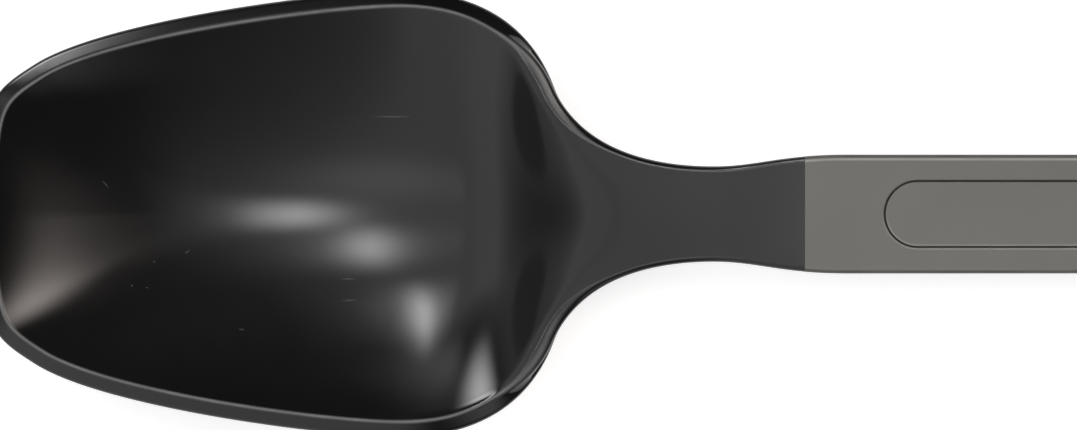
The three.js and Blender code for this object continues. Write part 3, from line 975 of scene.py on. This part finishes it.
def drawn_steel():
    """Bare steel with lines along the pin."""
    material, tree, surface = new_material("drawn_steel")
    stretched = {"Vector": surface_place(tree), "Scale": DRAWN_LINES}
    lines = noise(tree, add(tree, "ShaderNodeMapping", stretched).outputs[0], *STEEL_LINES)
    colour = two_tone(tree, lines, STEEL_TONES)
    roughness = spread(tree, lines, *STEEL_ROUGHNESS)
    connect(tree, surface, {"Metallic": 1, "Base Color": colour, "Roughness": roughness})
    return material


# Studio


def floor():
    """Round pale table under the spoon, which glows where the camera or a mirror sees it."""
    bm = bmesh.new()
    bmesh.ops.create_circle(bm, cap_ends=True, segments=FLOOR_SEGMENTS, radius=FLOOR_RADIUS)
    table = mesh_object("floor", bm)
    material, tree, surface = new_material("floor_white")
    tree.nodes.remove(surface)
    path = add(tree, "ShaderNodeLightPath").outputs
    seen = path["Is Camera Ray"]
    for kind in ("Is Glossy Ray", "Is Transmission Ray"):
        seen = calculate(tree, "MAXIMUM", seen, path[kind])
    glow = calculate(tree, "MULTIPLY", seen, FLOOR_GLOW)
    light = add(tree, "ShaderNodeEmission", {"Strength": glow}).outputs[0]
    matt = add(tree, "ShaderNodeBsdfDiffuse", {"Color": FLOOR_COLOUR}).outputs[0]
    both = add(tree, "ShaderNodeAddShader", {0: light, 1: matt}).outputs[0]
    connect(tree, tree.nodes["Material Output"], {"Surface": both})
    table.data.materials.append(material)


def soften(data):
    """Lets an area light fade from its middle to its edge."""
    data.use_nodes = True
    tree = data.node_tree
    place = add(tree, "ShaderNodeNewGeometry").outputs["Parametric"]
    from_middle = {0: place, 1: (HALF_UNIT, HALF_UNIT, 0)}
    off = add(tree, "ShaderNodeVectorMath", from_middle, operation="DISTANCE").outputs["Value"]
    glow = ramp(tree, off, 0, HALF_UNIT, 1, 0, interpolation_type="SMOOTHSTEP")
    connect(tree, tree.nodes["Emission"], {"Strength": glow})


def softbox(name, direction, width, height, radiance, colour, roll):
    """Soft-edged area light that faces the bowl from a direction, unseen by the camera."""
    data = bpy.data.lights.new(name, "AREA")
    data.shape = "RECTANGLE"
    data.size = width * LIGHT_DISTANCE
    data.size_y = height * LIGHT_DISTANCE
    data.energy = radiance * math.pi * data.size * data.size_y
    data.color = colour
    soften(data)
    light = bpy.data.objects.new(name, data)
    bpy.context.scene.collection.objects.link(light)
    towards = Vector(direction).normalized()
    up = (Vector((0, 1, 0)) - towards * towards.y).normalized()
    facing = Matrix((up.cross(towards), up, towards)).transposed().to_4x4()
    bowl = REST @ Vector((WIDEST_X, 0, 0))
    place = Matrix.Translation(bowl + towards * LIGHT_DISTANCE)
    light.matrix_world = place @ facing @ Matrix.Rotation(math.radians(roll), 4, "Z")
    light.visible_camera = False


def camera():
    """Camera straight above the part of the spoon that the photograph shows."""
    data = bpy.data.cameras.new("camera")
    data.sensor_width = SENSOR_WIDTH
    data.lens = SENSOR_WIDTH * CAMERA_DISTANCE / (PHOTO_WIDTH * METRES_PER_PIXEL)
    eye = bpy.data.objects.new("camera", data)
    bpy.context.scene.collection.objects.link(eye)
    eye.location = REST @ PHOTO_CENTRE + Vector((0, 0, CAMERA_DISTANCE))
    bpy.context.scene.camera = eye


def world():
    """Soft light from the whole tip side of the studio, and darkness on the handle side."""
    studio = bpy.data.worlds.new("studio")
    studio.use_nodes = True
    tree = studio.node_tree
    direction = add(tree, "ShaderNodeTexCoord").outputs["Generated"]
    axes = add(tree, "ShaderNodeSeparateXYZ", {0: direction}).outputs
    aside = calculate(tree, "ABSOLUTE", axes["Y"])
    turn = calculate(tree, "MULTIPLY_ADD", aside, SIDE_TURN, axes["X"])
    turn = calculate(tree, "MULTIPLY_ADD", axes["Y"], SKEW_TURN, turn)
    overhead = ramp(tree, turn, *OVERHEAD_ENDS, *OVERHEAD_LEVELS)
    lit = ramp(tree, turn, *HANDLE_SIDE_ENDS, overhead, HANDLE_SIDE_LEVEL)
    low = ramp(tree, axes["X"], *TIP_SIDE_ENDS, *TIP_SIDE_LEVELS)
    flank = calculate(tree, "MULTIPLY_ADD", axes["X"], FLANK_SLANT, axes["Y"])
    dark = ramp(tree, flank, *FLANK_ENDS, *FLANK_LEVELS)
    level = calculate(tree, "MULTIPLY", calculate(tree, "MULTIPLY", lit, low), dark)
    connect(tree, tree.nodes["Background"], {"Strength": level, "Color": (*WHITE, 1)})
    bpy.context.scene.world = studio


# Assembly

black = black_nylon()
grey = grey_nylon()
steel = drawn_steel()
for piece, node, slot, material in (
    (spoon_head(), "spoon_head", "black_nylon", black),
    (handle(), "handle", "grey_nylon", grey),
    (handle_inlay(), "handle_inlay", "grey_nylon", grey),
):
    piece.data.transform(REST)
    piece.data.materials.clear()
    piece.data.materials.append(material)
    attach(piece, "root")
    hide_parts(node)
for name in ("front_tang_pin", "rear_tang_pin"):
    pin = frame["nodes"][name]
    pin.data.materials.clear()
    pin.data.materials.append(steel)

floor()
camera()
world()
for light in LIGHTS:
    softbox(*light)
bpy.context.scene.view_settings.view_transform = "Standard"
